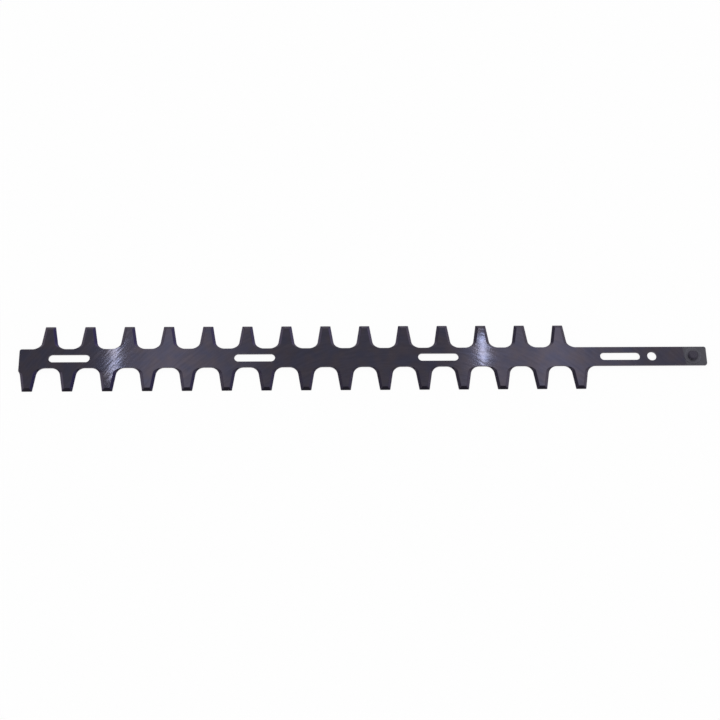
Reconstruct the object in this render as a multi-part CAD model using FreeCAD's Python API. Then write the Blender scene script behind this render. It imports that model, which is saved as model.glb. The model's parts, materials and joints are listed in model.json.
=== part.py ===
import FreeCAD, Part
import math
import os

# Hedge trimmer blade: one stamped and ground steel strip with cutting teeth on both edges, and
# the turned stud riveted into its tail, by which the machine pulls it to and fro.
# Frame: origin on the stud's axis at the flat sliding face, +X towards the tip, +Y towards the
# longer row of teeth, +Z up out of the bevelled face. Stations are distances along +X from the
# stud's axis. Millimetres and degrees.

# Steel strip
plate_thickness = 2.0
body_width = 17.6
shank_length = 103.0
tail_margin = 4.7
tail_corner_radius = 1.8
tip_corner_radius = 2.0
end_step = 1.45

# Teeth, the short row standing half a pitch on from the long one
tooth_pitch = 35.0
long_row_teeth = 15
tip_to_tip_width = 61.2
tooth_tip_width = 9.0
tooth_corner_radius = 0.6
flank_angle = 9.4
gullet_floor_width = 5.7

# Bevels ground into the upper face, measured in plan, and the square land left under them
flank_bevel = 2.6
tip_bevel = 2.7
edge_land = 0.25

# Guide slots on the centre line, and the round hole in the shank
slot_count = 4
slot_length = 36.2
slot_width = 7.3
first_slot_station = 65.8
last_slot_setback = 43.84
hole_diameter = 8.4
hole_web = 6.5

# Drive stud
journal_diameter = 9.3
journal_length = 3.0
journal_chamfer = 1.0
collar_edge_margin = 1.0
collar_height = 0.5
collar_chamfer = 0.3
spigot_diameter = 6.5
rivet_flare = 0.8

# Tooth and gullet sizes that follow from the ones above
body_edge = body_width / 2
tip_edge = tip_to_tip_width / 2
lean_sin = math.sin(math.radians(flank_angle))
lean_cos = math.cos(math.radians(flank_angle))
gullet_reach = (tooth_pitch - gullet_floor_width) / 2
flank_run = lean_cos * (gullet_reach - tooth_tip_width / 2) - lean_sin * (tip_edge - body_edge)
gullet_radius = flank_run / (1 - lean_sin)

# Stations that follow
last_tooth_station = shank_length + tooth_pitch * (long_row_teeth - 1)
tip_station = last_tooth_station + gullet_reach - gullet_radius * lean_cos + end_step
collar_radius = body_edge - collar_edge_margin
tail_station = -(collar_radius + tail_margin)
slot_spacing = (tip_station - last_slot_setback - first_slot_station) / (slot_count - 1)
hole_station = first_slot_station - slot_length / 2 - hole_web - hole_diameter / 2


def arc_about(centre, radius, start_angle, end_angle):
    """Start, middle and end points of an arc in plan, with angles from +X."""
    angles = [math.radians(a) for a in (start_angle, (start_angle + end_angle) / 2, end_angle)]
    return [(centre[0] + radius * math.cos(a), centre[1] + radius * math.sin(a)) for a in angles]


def closed_wire(arcs, height):
    """A closed plan outline at one height: arcs of three points each, joined by straight lines."""
    edges = []
    last_point = FreeCAD.Vector(*arcs[-1][-1], height)
    for arc in arcs:
        points = [FreeCAD.Vector(x, y, height) for x, y in arc]
        edges.append(Part.makeLine(last_point, points[0]))
        edges.append(Part.Arc(*points).toShape())
        last_point = points[-1]
    return Part.Wire(edges)


def rising_flank(flank_inset, tip_inset):
    """The tail side of a tooth about its centre line, from the gullet floor up to the tip.

    A gullet arc tangent to the floor and to the flank comes first, then a small corner arc tangent
    to the flank and to the tip. The insets carry flank and tip inwards to the top of the bevel. The
    gullet arc opens out with them about the same floor, so the bevel dies away where that begins.
    """
    radius = gullet_radius + flank_inset / (1 - lean_sin)
    gullet_arc = arc_about((-gullet_reach, body_edge + radius), radius, -90, -flank_angle)
    corner_height = tip_edge - tip_inset - tooth_corner_radius
    flank_shift = flank_inset + tooth_corner_radius - lean_sin * (tip_edge - corner_height)
    corner_offset = tooth_tip_width / 2 - flank_shift / lean_cos
    corner_arc = arc_about((-corner_offset, corner_height), tooth_corner_radius, 180 - flank_angle, 90)
    return [gullet_arc, corner_arc]


def tooth(station, flank_inset, tip_inset):
    """The four arcs of one tooth on the +Y edge, from its tail side to its tip side."""
    rising = rising_flank(flank_inset, tip_inset)
    falling = [[(-x, y) for x, y in reversed(arc)] for arc in reversed(rising)]
    return [[(station + x, y) for x, y in arc] for arc in rising + falling]


def cropped_gullet(flank_inset):
    """The gullet arc beyond the last tooth of the long row, stopped by the straight tip end."""
    radius = gullet_radius + flank_inset / (1 - lean_sin)
    centre = (last_tooth_station + gullet_reach, body_edge + radius)
    end_angle = 180 + math.degrees(math.acos((centre[0] - tip_station) / radius))
    return arc_about(centre, radius, 180 + flank_angle, end_angle)


def outline(height, flank_inset, tip_inset):
    """The strip in plan at one height, clockwise from the tail end of the long row."""
    arcs = []
    for n in range(long_row_teeth):
        arcs += tooth(shank_length + tooth_pitch * n, flank_inset, tip_inset)
    arcs[-1] = cropped_gullet(flank_inset)
    tip_corner = (tip_station - tip_corner_radius, tip_corner_radius - body_edge)
    arcs.append(arc_about(tip_corner, tip_corner_radius, 0, -90))
    for n in reversed(range(long_row_teeth - 1)):
        opposite = tooth(shank_length + tooth_pitch * (n + 0.5), flank_inset, tip_inset)
        arcs += [[(x, -y) for x, y in reversed(arc)] for arc in reversed(opposite)]
    corner_station = tail_station + tail_corner_radius
    corner_offset = body_edge - tail_corner_radius
    arcs.append(arc_about((corner_station, -corner_offset), tail_corner_radius, 270, 180))
    arcs.append(arc_about((corner_station, corner_offset), tail_corner_radius, 180, 90))
    return closed_wire(arcs, height)


def guide_slot(station):
    """A round-ended slot lying along the blade."""
    offset = (slot_length - slot_width) / 2
    ends = [arc_about((station + offset, 0), slot_width / 2, -90, 90),
            arc_about((station - offset, 0), slot_width / 2, 90, 270)]
    return Part.Face(closed_wire(ends, 0)).extrude(FreeCAD.Vector(0, 0, plate_thickness))


def turned(profile):
    """A solid of revolution about the stud's axis, from (radius, height) points."""
    points = [FreeCAD.Vector(radius, 0, height) for radius, height in profile]
    face = Part.Face(Part.makePolygon(points + points[:1]))
    return face.revolve(FreeCAD.Vector(0, 0, 0), FreeCAD.Vector(0, 0, 1), 360)


def spigot_profile():
    """The stud inside the strip: a spigot spread into a countersink, flush with the sliding face."""
    radius = spigot_diameter / 2
    return [(0, 0), (radius + rivet_flare, 0), (radius, rivet_flare), (radius, plate_thickness)]


def make_blade():
    """The strip: a ruled loft from its cutting edges to the top of their bevels, then pierced."""
    strip = Part.makeLoft([outline(0, 0, 0),
                           outline(edge_land, 0, 0),
                           outline(plate_thickness, flank_bevel, tip_bevel)], True, True)
    slots = [guide_slot(first_slot_station + slot_spacing * n) for n in range(slot_count)]
    hole = Part.makeCylinder(hole_diameter / 2, plate_thickness, FreeCAD.Vector(hole_station, 0, 0))
    rivet_hole = turned(spigot_profile() + [(0, plate_thickness)])
    return strip.cut(slots + [hole, rivet_hole]).removeSplitter()


def make_drive_pin():
    """The stud: a journal on a thrust collar that seats on the strip, and the spigot riveted below."""
    journal_radius = journal_diameter / 2
    collar_top = plate_thickness + collar_height
    journal_top = collar_top + journal_length
    return turned(spigot_profile() + [(collar_radius, plate_thickness),
                                      (collar_radius, collar_top - collar_chamfer),
                                      (collar_radius - collar_chamfer, collar_top),
                                      (journal_radius, collar_top),
                                      (journal_radius, journal_top - journal_chamfer),
                                      (journal_radius - journal_chamfer, journal_top),
                                      (0, journal_top)])


os.makedirs("parts", exist_ok=True)
make_blade().exportStep("parts/blade.step")
make_drive_pin().exportStep("parts/drive_pin.step")
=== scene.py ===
import json
import bpy
import numpy as np
from mathutils import Matrix, Vector
from mathutils.geometry import delaunay_2d_cdt


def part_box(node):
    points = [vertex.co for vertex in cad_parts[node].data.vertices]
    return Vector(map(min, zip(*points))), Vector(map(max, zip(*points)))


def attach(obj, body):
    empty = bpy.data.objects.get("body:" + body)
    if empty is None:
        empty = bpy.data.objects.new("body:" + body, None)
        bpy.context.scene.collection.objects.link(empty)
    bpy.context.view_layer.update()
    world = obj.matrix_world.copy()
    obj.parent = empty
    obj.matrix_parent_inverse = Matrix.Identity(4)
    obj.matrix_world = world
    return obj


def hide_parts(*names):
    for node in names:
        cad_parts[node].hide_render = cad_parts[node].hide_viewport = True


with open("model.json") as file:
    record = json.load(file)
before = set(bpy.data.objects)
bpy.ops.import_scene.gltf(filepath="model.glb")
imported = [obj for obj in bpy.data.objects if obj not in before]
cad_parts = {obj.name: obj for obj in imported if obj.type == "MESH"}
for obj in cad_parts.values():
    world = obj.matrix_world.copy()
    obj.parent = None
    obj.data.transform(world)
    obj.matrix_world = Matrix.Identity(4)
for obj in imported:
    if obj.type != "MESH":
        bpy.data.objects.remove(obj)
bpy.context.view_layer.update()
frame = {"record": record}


# Steel strip. One long blade blanked from 2 mm carbon steel, hardened, and ground flat on a rotary
# table, which leaves long fine arcs on both faces. The tooth bevels are ground last, from above, and
# the slots and the hole are punched.
millimetre = 0.001
mounts = {mount["name"]: mount for mount in frame["record"]["mounts"]}

# Its sizes are in millimetres and degrees. Stations count along the strip from the stud's axis.
strip_low, strip_high = (np.array(corner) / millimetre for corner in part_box("blade"))
tail_station = strip_low[0]
tip_station = strip_high[0]
tip_edge = strip_high[1]
plate_thickness = strip_high[2]
body_edge = 8.8
shank_length = 103.0
tail_corner_radius = 1.8
tip_corner_radius = 2.0
tooth_pitch = 35.0
long_row_teeth = 15
tooth_tip_width = 9.0
tooth_corner_radius = 0.6
flank_angle = 9.4
gullet_floor_width = 5.7
flank_bevel = 2.6
tip_bevel = 2.7
bevel_full_turn = 12.0
bevel_end_turn = 52.0
edge_land = 0.25
edge_break = 0.08
spigot_radius = 3.25
rivet_flare = 0.8
gullet_points = 13
flank_points = 5
corner_points = 11
tip_points = 3
half_circle_points = 25
lean_sin = np.sin(np.radians(flank_angle))
lean_cos = np.cos(np.radians(flank_angle))
gullet_reach = (tooth_pitch - gullet_floor_width) / 2
flank_run = lean_cos * (gullet_reach - tooth_tip_width / 2) - lean_sin * (tip_edge - body_edge)
gullet_radius = flank_run / (1 - lean_sin)


def arc(centre, radius, start, end, count):
    """Points of an arc in plan: the centre plus the radius times cosine and sine of even angles.

    The radius is one length, or one for each point.
    """
    angle = np.radians(np.linspace(start, end, count))
    return np.column_stack([centre[0] + radius * np.cos(angle), centre[1] + radius * np.sin(angle)])


def between(start, end, count):
    """Points evenly spaced on a straight line, its two ends left out."""
    return start + (end - start) * np.linspace(0, 1, count + 2)[1:-1, None]


def tooth(flank_inset, tip_inset):
    """One tooth in plan about its centre line, from one gullet floor to the next.

    The rising side is a gullet arc tangent to the floor and the flank, the straight flank, and a
    corner arc tangent to the flank and the tip. The falling side is its mirror image. The insets
    carry flank and tip inwards, and the flank's inset falls to nothing along the gullet arc.
    """
    turn_from_flank = np.linspace(90 - flank_angle, 0, gullet_points)
    inset_share = np.interp(turn_from_flank, (bevel_full_turn, bevel_end_turn), (1, 0))
    radius = gullet_radius + flank_inset * inset_share
    gullet = arc((-gullet_reach, body_edge + gullet_radius), radius, -90, -flank_angle, gullet_points)
    corner_height = tip_edge - tip_inset - tooth_corner_radius
    flank_shift = flank_inset + tooth_corner_radius - lean_sin * (tip_edge - corner_height)
    corner_centre = (flank_shift / lean_cos - tooth_tip_width / 2, corner_height)
    corner = arc(corner_centre, tooth_corner_radius, 180 - flank_angle, 90, corner_points)
    rising = np.vstack([gullet, between(gullet[-1], corner[0], flank_points), corner])
    falling = rising[::-1] * (-1, 1)
    return np.vstack([rising, between(rising[-1], falling[0], tip_points), falling])


def strip_outline(flank_inset, tip_inset):
    """The whole strip in plan, clockwise from above: each row is one tooth set at every station.

    The last gullet of the long row stops where its arc meets the straight tip end, and its bevel
    falls to nothing there.
    """
    shape = tooth(flank_inset, tip_inset)
    stations = shank_length + tooth_pitch * np.arange(long_row_teeth)
    long_row = (shape + stations[:, None, None] * (1, 0)).reshape(-1, 2)
    centre = (stations[-1] + gullet_reach, body_edge + gullet_radius)
    end_angle = 180 + np.degrees(np.arccos((centre[0] - tip_station) / gullet_radius))
    radius = gullet_radius + flank_inset * np.linspace(1, 0, gullet_points)
    long_row[-gullet_points:] = arc(centre, radius, 180 + flank_angle, end_angle, gullet_points)
    offset_stations = stations[-2::-1] + tooth_pitch / 2
    short_row = (shape[::-1] * (1, -1) + offset_stations[:, None, None] * (1, 0)).reshape(-1, 2)
    tip_corner = (tip_station - tip_corner_radius, tip_corner_radius - body_edge)
    tail_corner = (tail_station + tail_corner_radius, body_edge - tail_corner_radius)
    return np.vstack([long_row,
                      arc(tip_corner, tip_corner_radius, 0, -90, corner_points),
                      short_row,
                      arc((tail_corner[0], -tail_corner[1]), tail_corner_radius, 270, 180, corner_points),
                      arc(tail_corner, tail_corner_radius, 180, 90, corner_points)])


def drawn_in(loop, distance):
    """A closed plan loop moved to the right of its travel, along the mean normal of its two sides."""
    ahead = np.roll(loop, -1, axis=0) - loop
    ahead /= np.linalg.norm(ahead, axis=1, keepdims=True)
    tangent = ahead + np.roll(ahead, 1, axis=0)
    tangent /= np.linalg.norm(tangent, axis=1, keepdims=True)
    return loop + distance * np.column_stack([tangent[:, 1], -tangent[:, 0]])


def round_ended(station, reach, radius):
    """A slot in plan, anticlockwise: two half circles about points a reach either side of its station.

    With no reach it is a round hole, and the point that ends each half circle is left to the next.
    """
    half_turns = [arc((station + reach, 0), radius, -90, 90, half_circle_points),
                  arc((station - reach, 0), radius, 90, 270, half_circle_points)]
    return np.vstack(half_turns if reach else [half_turn[:-1] for half_turn in half_turns])


def wall(rings, first_vertex):
    """A band through closed rings of equal count, each a plan loop with one height or one per point.

    Quads join neighbouring rings. The map of the surface runs along the loop and up with height, and
    is not closed where the loop ends, so a pattern doesn't crowd into the last quad.
    """
    count = len(rings[0][0])
    points = np.vstack([np.column_stack([loop, np.broadcast_to(height, count)])
                        for loop, height in rings])
    near = np.arange(count)
    far = np.roll(near, -1)
    below = count * np.arange(len(rings) - 1)[:, None]
    above = below + count
    quads = np.stack([below + near, above + near, above + far, below + far], axis=-1).reshape(-1, 4)
    loop = rings[1][0]
    end = np.cumsum(np.linalg.norm(np.roll(loop, -1, axis=0) - loop, axis=1))
    start = np.concatenate([[0], end[:-1]])
    along = np.tile(np.stack([start, start, end, end], axis=-1), (len(rings) - 1, 1))
    return points, first_vertex + quads, np.stack([along, points[quads, 2]], axis=-1)


def flat_face(loops, vertex_numbers, upwards):
    """Triangles that fill the first loop around the others, turned to face up or down.

    They are a Delaunay triangulation held to the sides of the loops, with the inner loops left open.
    """
    points = np.vstack(loops)
    loop_ends = np.cumsum([len(loop) for loop in loops])
    outlines = np.split(np.arange(len(points)), loop_ends[:-1])
    triangles_with_holes = 2
    nearness = 1e-6
    _, _, faces, sources, _, _ = delaunay_2d_cdt(points.tolist(), [],
                                                 [outline.tolist() for outline in outlines],
                                                 triangles_with_holes, nearness)
    triangles = np.concatenate(sources)[np.array(faces)]
    plan = points[triangles]
    side_a, side_b = plan[:, 1] - plan[:, 0], plan[:, 2] - plan[:, 0]
    faces_up = side_a[:, 0] * side_b[:, 1] > side_a[:, 1] * side_b[:, 0]
    triangles[faces_up != upwards] = triangles[faces_up != upwards, ::-1]
    return np.concatenate(vertex_numbers)[triangles]


# The bevel's depth follows its width. Where it has run out, its foot keeps a small share of the full
# depth, so that it stays under the broken edge.
least_depth_share = 0.09
cutting_edge = strip_outline(0, 0)
bevel_top = strip_outline(flank_bevel, tip_bevel)
inwards = drawn_in(cutting_edge, 1) - cutting_edge
bevel_width = np.sum((bevel_top - cutting_edge) * inwards, axis=1)
bevel_depth = (plate_thickness - edge_land) * np.clip(bevel_width / flank_bevel, least_depth_share, 1)
unbroken_share = 1 - edge_break / bevel_depth[:, None]

openings = []
for pattern in (mounts["guide_slots_outer"], mounts["guide_slots_inner"]):
    middle = pattern["pos_m"][0] / millimetre
    half_spacing = pattern["dims"]["spacing_x_mm"] / 2
    slot_radius = pattern["dims"]["hole_r_mm"]
    slot_reach = pattern["dims"]["slot_length_mm"] / 2 - slot_radius
    openings.append((middle - half_spacing, slot_reach, slot_radius))
    openings.append((middle + half_spacing, slot_reach, slot_radius))
shank_hole = mounts["shank_hole"]
openings.append((shank_hole["pos_m"][0] / millimetre, 0, shank_hole["dims"]["r_mm"]))

# Each wall is its rings from the sliding face up: the outer one, the openings, and the hole that the
# stud is riveted into.
broken_edges = ((edge_break, 0),
                (0, edge_break),
                (0, plate_thickness - edge_break),
                (edge_break, plate_thickness))
strip_walls = [[(drawn_in(cutting_edge, edge_break), 0),
                (cutting_edge, edge_break),
                (cutting_edge, plate_thickness - bevel_depth),
                (cutting_edge + unbroken_share * (bevel_top - cutting_edge), plate_thickness - edge_break),
                (drawn_in(bevel_top, edge_break), plate_thickness)]]
strip_walls += [[(round_ended(station, reach, radius + extra), height)
                 for extra, height in broken_edges]
                for station, reach, radius in openings]
strip_walls.append([(round_ended(0, 0, radius), height)
                    for radius, height in ((spigot_radius + rivet_flare, 0),
                                           (spigot_radius, rivet_flare),
                                           (spigot_radius, plate_thickness))])

points, quads, surface_map, bottom_numbers, top_numbers = [], [], [], [], []
vertex_count = 0
for rings in strip_walls:
    wall_points, wall_quads, wall_map = wall(rings, vertex_count)
    loop_count = len(rings[0][0])
    bottom_numbers.append(vertex_count + np.arange(loop_count))
    vertex_count += len(wall_points)
    top_numbers.append(vertex_count - loop_count + np.arange(loop_count))
    points.append(wall_points)
    quads.append(wall_quads)
    surface_map.append(wall_map)
bottom_face = flat_face([rings[0][0] for rings in strip_walls], bottom_numbers, False)
top_face = flat_face([rings[-1][0] for rings in strip_walls], top_numbers, True)
quads = np.vstack(quads)
triangles = np.vstack([bottom_face, top_face])

# Which quads belong to a bevel: those of the outer wall's two upper bands whose top is drawn in.
least_bevel_width = 0.02
flat_finish, bevel_finish, edge_finish = 0, 1, 2
bevelled = np.maximum(bevel_width, np.roll(bevel_width, -1)) > least_bevel_width
upper_bands = slice(2 * len(cutting_edge), 4 * len(cutting_edge))
quad_finish = np.full(len(quads), edge_finish)
quad_finish[upper_bands][np.tile(bevelled, 2)] = bevel_finish


def linear(hex_colour):
    """An sRGB hex colour as linear red, green, blue and an alpha of one."""
    channels = [int(hex_colour[place:place + 2], 16) / 255 for place in (1, 3, 5)]
    return *[c / 12.92 if c <= 0.04045 else ((c + 0.055) / 1.055) ** 2.4 for c in channels], 1.0


def add(tree, kind, inputs, **settings):
    """Adds one node: settings are its properties, and inputs gives each socket a value or a feed.

    A socket goes by its name or its place. A Map Range's places 0 to 4 are its value, the range that
    it comes from and the range that it goes to. A colour Mix's 0, 6 and 7 are its share and colours.
    """
    node = tree.nodes.new(kind)
    for name, value in settings.items():
        setattr(node, name, value)
    for socket, value in inputs.items():
        if isinstance(value, bpy.types.NodeSocket):
            tree.links.new(value, node.inputs[socket])
        else:
            node.inputs[socket].default_value = value
    return node


def new_material(name):
    """An empty node material, and its node tree."""
    material = bpy.data.materials.new(name)
    material.use_nodes = True
    material.node_tree.nodes.clear()
    return material, material.node_tree


# Rotary-ground carbon steel under a film of oil: dark, near a mirror, and drawn over by arcs about
# the middle of the grinding table. The grit's own lines are about 0.1 mm apart, too fine to show, so
# they are drawn coarser. Shallow waves along the arcs break what the face mirrors into streaks. The
# tail beside the stud is left unground and is a paler grey.
grinding_centre = (261.5 * millimetre, 226 * millimetre, 0)
mean_grinding_radius = 280 * millimetre
scratch_spacing = 2.2 * millimetre
scratch_length = 16 * millimetre
scratch_depth_share = 0.3
scratch_shade = (0.93, 1.07)
scratch_gloss = (0.046, 0.062)
wave_spacing = 2.8 * millimetre
wave_length = 14 * millimetre
wave_depth = 0.0085 * millimetre
stain_size = 12 * millimetre
ground_from = 8.1 * millimetre
ground_fade = 1.2 * millimetre
ground_slant = 0.14
oiled_tint = linear("#424150")
stained_tint = linear("#49444d")
unground_tint = linear("#56555c")

# The levels of stain and of line noise that are drawn out to the full effect of the pattern.
stain_low, stain_high = 0.35, 0.65
noise_low, noise_high = 0.3, 0.7

ground_steel, tree = new_material("rotary_ground_steel")
coords = add(tree, "ShaderNodeTexCoord", {}).outputs["Object"]
plan = add(tree, "ShaderNodeVectorMath", {0: coords, 1: (1, 1, 0)}, operation="MULTIPLY").outputs[0]
from_centre = add(tree, "ShaderNodeVectorMath", {0: plan, 1: grinding_centre},
                  operation="SUBTRACT").outputs[0]
radius = add(tree, "ShaderNodeVectorMath", {0: from_centre}, operation="LENGTH").outputs["Value"]
axes = add(tree, "ShaderNodeSeparateXYZ", {0: from_centre})
angle = add(tree, "ShaderNodeMath", {0: axes.outputs["Y"], 1: axes.outputs["X"]},
            operation="ARCTAN2").outputs[0]
polar = add(tree, "ShaderNodeCombineXYZ", {"X": radius, "Y": angle}).outputs[0]
scratch_scale = (1 / scratch_spacing, mean_grinding_radius / scratch_length, 0)
scratch_place = add(tree, "ShaderNodeVectorMath", {0: polar, 1: scratch_scale},
                    operation="MULTIPLY").outputs[0]
scratches = add(tree, "ShaderNodeTexNoise",
                {"Vector": scratch_place, "Scale": 1, "Detail": 3, "Roughness": 0.6},
                noise_dimensions="2D").outputs[0]
wave_scale = (1 / wave_spacing, mean_grinding_radius / wave_length, 0)
wave_place = add(tree, "ShaderNodeVectorMath", {0: polar, 1: wave_scale}, operation="MULTIPLY").outputs[0]
waves = add(tree, "ShaderNodeTexNoise", {"Vector": wave_place, "Scale": 1, "Detail": 1},
            noise_dimensions="2D").outputs[0]
stains = add(tree, "ShaderNodeTexNoise",
             {"Vector": coords, "Scale": 1 / stain_size, "Detail": 4}).outputs[0]
stain_mix = add(tree, "ShaderNodeMapRange", {0: stains, 1: stain_low, 2: stain_high}).outputs[0]
tint = add(tree, "ShaderNodeMix", {0: stain_mix, 6: oiled_tint, 7: stained_tint},
           data_type="RGBA").outputs[2]
along_strip = add(tree, "ShaderNodeVectorMath", {0: coords, 1: (1, ground_slant, 0)},
                  operation="DOT_PRODUCT").outputs["Value"]
unground = add(tree, "ShaderNodeMapRange",
               {0: along_strip, 1: ground_from, 2: ground_from - ground_fade}).outputs[0]
tint = add(tree, "ShaderNodeMix", {0: unground, 6: tint, 7: unground_tint},
           data_type="RGBA").outputs[2]
shade = add(tree, "ShaderNodeMapRange",
            {0: scratches, 1: noise_low, 2: noise_high,
             3: scratch_shade[0], 4: scratch_shade[1]}).outputs[0]
colour = add(tree, "ShaderNodeVectorMath", {0: tint, 3: shade}, operation="SCALE").outputs[0]
gloss = add(tree, "ShaderNodeMapRange",
            {0: scratches, 1: noise_low, 2: noise_high,
             3: scratch_gloss[0], 4: scratch_gloss[1]}).outputs[0]
relief = add(tree, "ShaderNodeMath", {0: scratches, 1: scratch_depth_share, 2: waves},
             operation="MULTIPLY_ADD").outputs[0]
normal = add(tree, "ShaderNodeBump",
             {"Height": relief, "Distance": wave_depth, "Strength": 1.0}).outputs[0]
shader = add(tree, "ShaderNodeBsdfPrincipled",
             {"Base Color": colour, "Roughness": gloss, "Normal": normal, "Metallic": 1.0}).outputs[0]
add(tree, "ShaderNodeOutputMaterial", {"Surface": shader})

# Wheel-ground bevel: the same steel with a fresher cut, and with fine lines that run across the bevel
# from its top to the cutting edge. The flanks that face the tail are painted bluer, the more so the
# nearer they are to the tip: a painted reflection of the dark blue-grey that these flanks mirror.
wheel_line_spacing = 0.8 * millimetre
wheel_line_length = 8.3 * millimetre
wheel_line_depth = 0.003 * millimetre
wheel_line_shade = (0.92, 1.08)
wheel_line_gloss = (0.10, 0.18)
# Painted reflection: where and how strongly the tail-facing flanks are painted bluer.
blue_reflection_from = 250 * millimetre
blue_reflection_full = 560 * millimetre
facing_a_little, facing_fully = 0.1, 0.5
fresh_tint = linear("#46414f")
dull_tint = linear("#47424c")
painted_reflection_tint = linear("#464061")
bevel_steel, tree = new_material("wheel_ground_bevel_steel")
surface = add(tree, "ShaderNodeUVMap", {}, uv_map="along_edge").outputs[0]
places = add(tree, "ShaderNodeTexCoord", {})
coords = places.outputs["Object"]
line_scale = (1 / wheel_line_spacing, 1 / wheel_line_length, 0)
line_place = add(tree, "ShaderNodeVectorMath", {0: surface, 1: line_scale}, operation="MULTIPLY").outputs[0]
wheel_lines = add(tree, "ShaderNodeTexNoise", {"Vector": line_place, "Scale": 1, "Detail": 3},
                  noise_dimensions="2D").outputs[0]
stains = add(tree, "ShaderNodeTexNoise",
             {"Vector": coords, "Scale": 1 / stain_size, "Detail": 3}).outputs[0]
stain_mix = add(tree, "ShaderNodeMapRange", {0: stains, 1: stain_low, 2: stain_high}).outputs[0]
tint = add(tree, "ShaderNodeMix", {0: stain_mix, 6: fresh_tint, 7: dull_tint},
           data_type="RGBA").outputs[2]
# Painted reflection: a bluer tint on flanks that face the tail, growing towards the tip.
from_stud = add(tree, "ShaderNodeSeparateXYZ", {0: coords}).outputs["X"]
blue_reflection_along = add(tree, "ShaderNodeMapRange", {0: from_stud, 1: blue_reflection_from, 2: blue_reflection_full}).outputs[0]
towards_tail = add(tree, "ShaderNodeVectorMath", {0: places.outputs["Normal"], 1: (-1, 0, 0)},
                   operation="DOT_PRODUCT").outputs["Value"]
painted_reflection_share = add(tree, "ShaderNodeMapRange",
             {0: towards_tail, 1: facing_a_little, 2: facing_fully, 4: blue_reflection_along}).outputs[0]
tint = add(tree, "ShaderNodeMix", {0: painted_reflection_share, 6: tint, 7: painted_reflection_tint}, data_type="RGBA").outputs[2]
shade = add(tree, "ShaderNodeMapRange",
            {0: wheel_lines, 1: noise_low, 2: noise_high,
             3: wheel_line_shade[0], 4: wheel_line_shade[1]}).outputs[0]
colour = add(tree, "ShaderNodeVectorMath", {0: tint, 3: shade}, operation="SCALE").outputs[0]
gloss = add(tree, "ShaderNodeMapRange",
            {0: wheel_lines, 1: noise_low, 2: noise_high,
             3: wheel_line_gloss[0], 4: wheel_line_gloss[1]}).outputs[0]
normal = add(tree, "ShaderNodeBump",
             {"Height": wheel_lines, "Distance": wheel_line_depth, "Strength": 1.0}).outputs[0]
shader = add(tree, "ShaderNodeBsdfPrincipled",
             {"Base Color": colour, "Roughness": gloss, "Normal": normal, "Metallic": 1.0}).outputs[0]
add(tree, "ShaderNodeOutputMaterial", {"Surface": shader})

# Sheared edge: what the press leaves on the sides of the strip and its openings, dull and drawn
# straight up and down.
shear_line_spacing = 0.6 * millimetre
shear_line_length = 4 * millimetre
shear_line_depth = 0.02 * millimetre
shear_line_gloss = (0.32, 0.48)
line_tint = linear("#58545c")
ridge_tint = linear("#6c6870")
grazing_tint = linear("#b0b0b0")
edge_steel, tree = new_material("sheared_edge_steel")
surface = add(tree, "ShaderNodeUVMap", {}, uv_map="along_edge").outputs[0]
line_scale = (1 / shear_line_spacing, 1 / shear_line_length, 0)
line_place = add(tree, "ShaderNodeVectorMath", {0: surface, 1: line_scale}, operation="MULTIPLY").outputs[0]
shear_lines = add(tree, "ShaderNodeTexNoise", {"Vector": line_place, "Scale": 1, "Detail": 3},
                  noise_dimensions="2D").outputs[0]
colour = add(tree, "ShaderNodeMix", {0: shear_lines, 6: line_tint, 7: ridge_tint},
             data_type="RGBA").outputs[2]
gloss = add(tree, "ShaderNodeMapRange",
            {0: shear_lines, 1: noise_low, 2: noise_high,
             3: shear_line_gloss[0], 4: shear_line_gloss[1]}).outputs[0]
normal = add(tree, "ShaderNodeBump",
             {"Height": shear_lines, "Distance": shear_line_depth, "Strength": 1.0}).outputs[0]
shader = add(tree, "ShaderNodeBsdfPrincipled",
             {"Base Color": colour, "Roughness": gloss, "Normal": normal, "Metallic": 1.0,
              "Specular Tint": grazing_tint}).outputs[0]
add(tree, "ShaderNodeOutputMaterial", {"Surface": shader})


def new_piece(name, points, faces, materials, face_finish, smooth, surface_map):
    """A mesh object at the origin from points in millimetres, with its finishes and surface map."""
    sharp_angle = 10
    mesh = bpy.data.meshes.new(name)
    mesh.from_pydata((points * millimetre).tolist(), [], faces)
    mesh.polygons.foreach_set("material_index", np.asarray(face_finish, dtype=np.int32))
    mesh.polygons.foreach_set("use_smooth", np.asarray(smooth, dtype=bool))
    layer = mesh.uv_layers.new(name="along_edge")
    layer.data.foreach_set("uv", (surface_map * millimetre).astype(np.float32).ravel())
    for material in materials:
        mesh.materials.append(material)
    mesh.set_sharp_from_angle(angle=np.radians(sharp_angle))
    mesh.validate()
    piece = bpy.data.objects.new(name, mesh)
    bpy.context.collection.objects.link(piece)
    return piece


flat_map = np.zeros((3 * len(triangles), 2))
strip = new_piece("ground_blade",
                  np.vstack(points),
                  quads.tolist() + triangles.tolist(),
                  [ground_steel, bevel_steel, edge_steel],
                  np.concatenate([quad_finish, np.full(len(triangles), flat_finish)]),
                  np.repeat([True, False], [len(quads), len(triangles)]),
                  np.vstack([np.vstack(surface_map).reshape(-1, 2), flat_map]))
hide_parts("blade")
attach(strip, "root")


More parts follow.
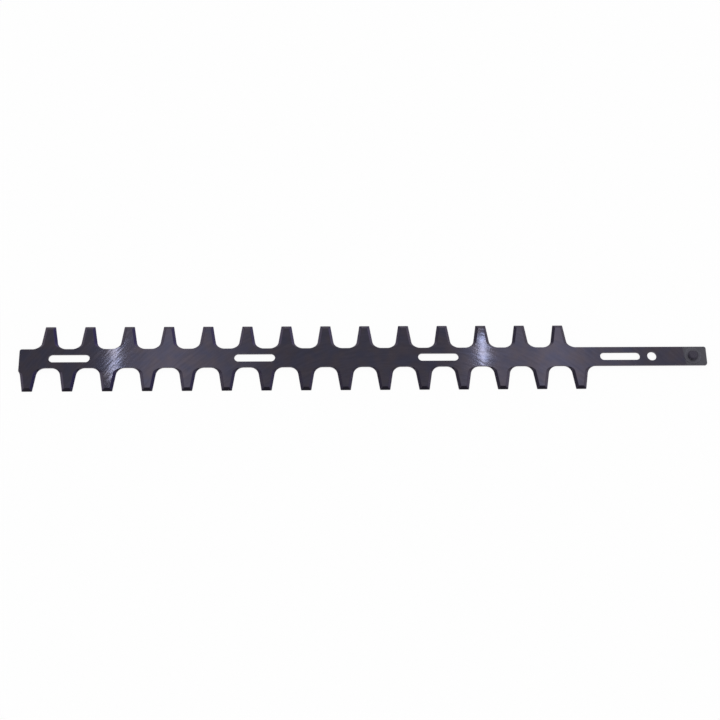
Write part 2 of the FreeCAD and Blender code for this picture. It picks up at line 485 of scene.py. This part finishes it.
# Drive stud. Turned from bar and hardened: a journal for the crank's yoke standing on a thin thrust
# collar. Its spigot goes down through the strip and is riveted over, flush with the sliding face.
_, stud_high = (np.array(corner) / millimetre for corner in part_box("drive_pin"))
collar_radius = stud_high[0]
collar_height = 0.5
collar_top = plate_thickness + collar_height
collar_foot_break = 0.06
collar_round = 0.3
collar_round_middle = 0.1
journal_radius = mounts["drive_pin"]["dims"]["r_mm"]
journal_top = stud_high[2]
journal_chamfer = 1.0
journal_foot_round = 0.25
journal_edge_round = 0.1
journal_round_middle = 0.07
rivet_radius = spigot_radius + rivet_flare
rivet_edge_width = 0.06
rivet_edge_height = 0.05
stud_sides = 96
chamfer_radius = journal_radius - journal_chamfer
chamfer_foot = journal_top - journal_chamfer
stud_profile = np.array([(rivet_radius - rivet_edge_width, 0),
                         (rivet_radius, rivet_edge_height),
                         (spigot_radius, rivet_flare),
                         (spigot_radius, plate_thickness),
                         (collar_radius - collar_foot_break, plate_thickness),
                         (collar_radius, plate_thickness + collar_foot_break),
                         (collar_radius, collar_top - collar_round),
                         (collar_radius - collar_round_middle, collar_top - collar_round_middle),
                         (collar_radius - collar_round, collar_top),
                         (journal_radius + journal_foot_round, collar_top),
                         (journal_radius + journal_round_middle, collar_top + journal_round_middle),
                         (journal_radius, collar_top + journal_foot_round),
                         (journal_radius, chamfer_foot - journal_edge_round),
                         (journal_radius - journal_round_middle, chamfer_foot + journal_round_middle),
                         (chamfer_radius + journal_round_middle, journal_top - journal_round_middle),
                         (chamfer_radius - journal_edge_round, journal_top)])


def turned(profile, sides):
    """A profile of radius and height swept about the axis, with a fan to a point at each end.

    Each ring is its radius times cosine and sine of even angles, clockwise, at its height.
    """
    angle = np.linspace(0, 2 * np.pi, sides, endpoint=False)
    circle = np.column_stack([np.cos(angle), np.sin(angle)])[::-1]
    points, quads, _ = wall([(radius * circle, height) for radius, height in profile], 0)
    near = np.arange(sides)
    far = np.roll(near, -1)
    bottom, top = len(points), len(points) + 1
    last = len(points) - sides
    points = np.vstack([points, (0, 0, profile[0, 1]), (0, 0, profile[-1, 1])])
    fans = [np.column_stack([np.full(sides, bottom), near, far]),
            np.column_stack([np.full(sides, top), last + far, last + near])]
    return points, quads, np.vstack(fans)


# Turned and hardened steel: rings left by the tool, which run round the axis on every face and spread
# the gloss across them. The tool's feed is about 0.1 mm, too fine to show, so the rings are drawn
# coarser. The top is dark oiled steel. The chamfer is darker, a painted shade, and the side and the
# collar are paler, a painted highlight.
ring_spacing = 0.7 * millimetre
ring_depth = 0.01 * millimetre
ring_shade = (0.92, 1.08)
ring_gloss = (0.2, 0.32)
collar_gloss = 0.5
ring_stretch = 0.8
collar_fade = 0.3
journal_fade = 0.2
# The chamfer's darker tint is painted shade; the side's and the collar's paler tints are a painted
# highlight.
top_tint = linear("#45424c")
chamfer_painted_shade = linear("#3c3943")
side_painted_highlight = linear("#5e5b65")
collar_painted_highlight = linear("#66656d")
turned_steel, tree = new_material("turned_hardened_steel")
coords = add(tree, "ShaderNodeTexCoord", {}).outputs["Object"]
axes = add(tree, "ShaderNodeSeparateXYZ", {0: coords})
plan = add(tree, "ShaderNodeVectorMath", {0: coords, 1: (1, 1, 0)}, operation="MULTIPLY").outputs[0]
radius = add(tree, "ShaderNodeVectorMath", {0: plan}, operation="LENGTH").outputs["Value"]
feed = add(tree, "ShaderNodeMath", {0: radius, 1: axes.outputs["Z"]}, operation="ADD").outputs[0]
tool_rings = add(tree, "ShaderNodeTexNoise", {"W": feed, "Scale": 1 / ring_spacing, "Detail": 2},
                 noise_dimensions="1D").outputs[0]
on_collar = add(tree, "ShaderNodeMapRange",
                {0: radius,
                 1: journal_radius * millimetre,
                 2: (journal_radius + collar_fade) * millimetre}).outputs[0]
on_chamfer = add(tree, "ShaderNodeMapRange",
                 {0: radius,
                  1: (chamfer_radius - journal_fade) * millimetre,
                  2: (chamfer_radius + journal_fade) * millimetre}).outputs[0]
on_side = add(tree, "ShaderNodeMapRange",
              {0: radius,
               1: (journal_radius - journal_fade) * millimetre,
               2: journal_radius * millimetre}).outputs[0]
# Painted shade on the chamfer, and a painted highlight on the side and the collar, by radius.
tint = add(tree, "ShaderNodeMix", {0: on_chamfer, 6: top_tint, 7: chamfer_painted_shade},
           data_type="RGBA").outputs[2]
tint = add(tree, "ShaderNodeMix", {0: on_side, 6: tint, 7: side_painted_highlight}, data_type="RGBA").outputs[2]
tint = add(tree, "ShaderNodeMix", {0: on_collar, 6: tint, 7: collar_painted_highlight}, data_type="RGBA").outputs[2]
shade = add(tree, "ShaderNodeMapRange",
            {0: tool_rings, 1: noise_low, 2: noise_high, 3: ring_shade[0], 4: ring_shade[1]}).outputs[0]
colour = add(tree, "ShaderNodeVectorMath", {0: tint, 3: shade}, operation="SCALE").outputs[0]
gloss = add(tree, "ShaderNodeMapRange",
            {0: tool_rings, 1: noise_low, 2: noise_high, 3: ring_gloss[0], 4: ring_gloss[1]}).outputs[0]
gloss = add(tree, "ShaderNodeMapRange", {0: on_collar, 3: gloss, 4: collar_gloss}).outputs[0]
normal = add(tree, "ShaderNodeBump",
             {"Height": tool_rings, "Distance": ring_depth, "Strength": 1.0}).outputs[0]
across_rings = add(tree, "ShaderNodeVectorMath", {0: plan, 1: (0, 0, millimetre)},
                   operation="ADD").outputs[0]
shader = add(tree, "ShaderNodeBsdfPrincipled",
             {"Base Color": colour, "Roughness": gloss, "Normal": normal, "Metallic": 1.0,
              "Anisotropic": ring_stretch, "Tangent": across_rings}).outputs[0]
add(tree, "ShaderNodeOutputMaterial", {"Surface": shader})

points, quads, fans = turned(stud_profile, stud_sides)
stud = new_piece("turned_drive_stud",
                 points,
                 quads.tolist() + fans.tolist(),
                 [turned_steel],
                 np.zeros(len(quads) + len(fans)),
                 np.repeat([True, False], [len(quads), len(fans)]),
                 np.zeros((4 * len(quads) + 3 * len(fans), 2)))
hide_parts("drive_pin")
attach(stud, "root")


# Table top. A white board that the blade lies on, wide enough to fill the picture, and set a hair under
# the sliding face. Lengths from here on are in metres, unless a comment says otherwise.
table_half_width = 6.0
table_drop = 0.0001
table_glow = 0.9
table_colour = linear("#fcfcfc")

# Matt white paint. To the camera and in reflections most of it is a plain glow of 1, so that it stays
# white, and the rest takes the blade's shadow.
white_paint, tree = new_material("white_board")
light_path = add(tree, "ShaderNodeLightPath", {})
seen = add(tree, "ShaderNodeMath",
           {0: light_path.outputs["Is Camera Ray"], 1: light_path.outputs["Is Glossy Ray"]},
           operation="ADD").outputs[0]
seen = add(tree, "ShaderNodeMath", {0: seen, 1: light_path.outputs["Is Transmission Ray"]},
           operation="ADD", use_clamp=True).outputs[0]
glow_share = add(tree, "ShaderNodeMath", {0: seen, 1: table_glow}, operation="MULTIPLY").outputs[0]
paint = add(tree, "ShaderNodeBsdfDiffuse", {"Color": table_colour}).outputs[0]
glow = add(tree, "ShaderNodeEmission", {"Strength": 1.0}).outputs[0]
shader = add(tree, "ShaderNodeMixShader", {0: glow_share, 1: paint, 2: glow}).outputs[0]
add(tree, "ShaderNodeOutputMaterial", {"Surface": shader})

sides = (-table_half_width, table_half_width)
grid_x, grid_y = np.meshgrid(sides, sides, indexing="ij")
corners = np.column_stack([grid_x.ravel(), grid_y.ravel(), np.full(4, -table_drop)])
table_mesh = bpy.data.meshes.new("table_top")
table_mesh.from_pydata(corners.tolist(), [], [(0, 2, 3, 1)])
table_mesh.materials.append(white_paint)
table_top = bpy.data.objects.new("table_top", table_mesh)
bpy.context.collection.objects.link(table_top)


# Light. A white room whose ceiling is brighter in two places, with a short strip lamp in each, so that
# two bright bands lie across the blade. Curved boards stand round it, painted in rows from white near
# the table to dark grey above. Only reflections show them, and they shade the bevels and the stud.

# Each level of the ceiling goes with a slope: how far along the blade it lies for each metre of height.
# The white walls give way to it between two heights of a direction, whose length is one.
ceiling_levels = ((-0.32, 0.84), (-0.256, 0.86), (-0.243, 1.22), (-0.23, 1.1), (-0.19, 1.86),
                  (-0.175, 1.36), (-0.128, 1.36), (-0.113, 0.71), (0.02, 0.67), (0.09, 1.31),
                  (0.099, 1.57), (0.118, 1.48), (0.128, 1.2), (0.14, 1.0), (0.16, 0.69),
                  (0.21, 0.63), (0.24, 0.63))
first_slope, last_slope = ceiling_levels[0][0], ceiling_levels[-1][0]
ceiling_starts, ceiling_whole = 0.7, 0.85
world = bpy.data.worlds.new("white_room")
bpy.context.scene.world = world
world.use_nodes = True
tree = world.node_tree
tree.nodes.clear()
direction = add(tree, "ShaderNodeTexCoord", {}).outputs["Generated"]
axes = add(tree, "ShaderNodeSeparateXYZ", {0: direction})
slope = add(tree, "ShaderNodeMath", {0: axes.outputs["X"], 1: axes.outputs["Z"]},
            operation="DIVIDE").outputs[0]
along_ceiling = add(tree, "ShaderNodeMapRange", {0: slope, 1: first_slope, 2: last_slope}).outputs[0]
ceiling = add(tree, "ShaderNodeValToRGB", {0: along_ceiling})
stops = ceiling.color_ramp.elements
while len(stops) < len(ceiling_levels):
    stops.new(0.5)
for stop, (place, level) in zip(stops, ceiling_levels):
    stop.position = (place - first_slope) / (last_slope - first_slope)
    stop.color = (level, level, level, 1)
overhead = add(tree, "ShaderNodeMapRange",
               {0: axes.outputs["Z"], 1: ceiling_starts, 2: ceiling_whole}).outputs[0]
room = add(tree, "ShaderNodeMix", {0: overhead, 6: (1, 1, 1, 1), 7: ceiling.outputs[0]},
           data_type="RGBA").outputs[2]
background = add(tree, "ShaderNodeBackground", {"Color": room, "Strength": 1.0}).outputs[0]
add(tree, "ShaderNodeOutputWorld", {"Surface": background})


def painted_board(name, azimuths, shading, distance, rows):
    """A curved board seen only in reflections: points at even azimuths on a cylinder about the blade.

    Each row is an elevation and its paint, and stands where that elevation meets the cylinder. The
    shading says how much of the paint each of the given azimuths takes, the rest being white.
    """
    columns = 33
    middle_of_blade = 0.3
    around = np.linspace(azimuths[0], azimuths[-1], columns)
    height = distance * np.tan(np.radians([elevation for elevation, _ in rows]))
    rise, turn = np.meshgrid(height, np.radians(around), indexing="ij")
    points = np.stack([middle_of_blade + distance * np.cos(turn), distance * np.sin(turn), rise], axis=-1)
    corner = (columns * np.arange(len(rows) - 1)[:, None] + np.arange(columns - 1)).reshape(-1, 1)
    mesh = bpy.data.meshes.new(name)
    mesh.from_pydata(points.reshape(-1, 3).tolist(), [], (corner + (0, 1, columns + 1, columns)).tolist())
    paint = np.array([colour for _, colour in rows])[:, None]
    painted = np.ones((len(rows), columns, 4), dtype=np.float32)
    painted[..., :3] += np.interp(around, azimuths, shading)[:, None] * (paint - 1)
    layer = mesh.attributes.new("paint", "FLOAT_COLOR", "POINT")
    layer.data.foreach_set("color", painted.ravel())
    # Matt paint under its own even light: a plain glow of the row's colour.
    material, tree = new_material(name)
    paint_colour = add(tree, "ShaderNodeAttribute", {}, attribute_name="paint").outputs["Color"]
    glow = add(tree, "ShaderNodeEmission", {"Color": paint_colour, "Strength": 1.0}).outputs[0]
    add(tree, "ShaderNodeOutputMaterial", {"Surface": glow})
    mesh.materials.append(material)
    board = bpy.data.objects.new(name, mesh)
    board.visible_camera = False
    board.visible_diffuse = False
    board.visible_transmission = False
    board.visible_shadow = False
    bpy.context.collection.objects.link(board)


painted_board("board_beside_tip", azimuths=(-65, 5, 55), shading=(1, 1, 0.6), distance=2.4,
              rows=((12, (1.25, 1.25, 1.3)),
                    (19, (0.95, 0.95, 1.0)),
                    (22, (0.56, 0.56, 0.62)),
                    (26, (0.38, 0.38, 0.44)),
                    (46, (0.30, 0.31, 0.36))))
painted_board("board_beside_tail", azimuths=(186, 222, 232, 245), shading=(1, 1, 0.5, 0.3), distance=2.4,
              rows=((12, (1.3, 1.3, 1.35)),
                    (17, (1.05, 1.05, 1.15)),
                    (20, (0.72, 0.72, 0.8)),
                    (28, (0.5, 0.5, 0.58)),
                    (33, (0.36, 0.36, 0.44)),
                    (46, (0.36, 0.36, 0.44))))
painted_board("board_behind_camera", azimuths=(20, 58, 70, 110, 122, 186),
              shading=(0.6, 0.6, 1, 1, 0.6, 0.6), distance=2.6,
              rows=((20, (1.0, 1.0, 1.0)),
                    (30, (0.2, 0.2, 0.22)),
                    (72, (0.2, 0.2, 0.22))))

camera_place = Vector((0.3496, 0.4547, 1.1693))
camera_height = camera_place.z - plate_thickness * millimetre
lamp_height = 1.5
lamp_tint = (0.85, 0.97, 1.0)


def hang_lamp(name, station, near_end, width, length, radiance):
    """A level strip lamp, hung where the blade's face mirrors it to the camera at a station.

    Its near end is mirrored at a place across the blade, and it runs back from there. The station
    and the near end are in millimetres on the face.
    """
    spread = lamp_height / camera_height
    mirrored = Vector((station, near_end, plate_thickness)) * millimetre
    away = Vector((mirrored.x - camera_place.x, mirrored.y - camera_place.y, 0)) * spread
    lamp = bpy.data.lights.new(name, "AREA")
    lamp.shape = "RECTANGLE"
    lamp.color = lamp_tint
    lamp.size = width
    lamp.size_y = length
    lamp.energy = radiance * np.pi * width * length
    lamp_object = bpy.data.objects.new(name, lamp)
    lamp_object.location = mirrored + away + Vector((0, -length / 2, lamp_height))
    bpy.context.collection.objects.link(lamp_object)


hang_lamp("strip_lamp_tip", station=517.3, near_end=21, width=0.0096, length=0.10, radiance=12.4)
hang_lamp("strip_lamp_tail", station=189.3, near_end=6.5, width=0.0096, length=0.061, radiance=17.0)


# Camera. A long lens above the blade, a little to the side of the longer row of teeth, that looks down
# at the strip's middle and is turned by a fraction of a degree about its own axis.
def facing(place, target, right):
    """A placing matrix whose back points from the target to the place, with its right side near right."""
    back = (place - target).normalized()
    right = (right - right.dot(back) * back).normalized()
    up = back.cross(right)
    turn = Matrix((right, up, back)).transposed()
    return Matrix.Translation(place) @ turn.to_4x4()


aim = Vector((0.29987, 0.0020, 0))
picture_turn = np.radians(0.265)
picture_right = Vector((-np.cos(picture_turn), np.sin(picture_turn), 0))
camera = bpy.data.cameras.new("camera")
camera.lens = 70.255
camera.sensor_width = 36
camera.clip_end = 50
camera_object = bpy.data.objects.new("camera", camera)
camera_object.matrix_world = facing(camera_place, aim, picture_right)
bpy.context.collection.objects.link(camera_object)
bpy.context.scene.camera = camera_object
bpy.context.scene.view_settings.view_transform = "Standard"
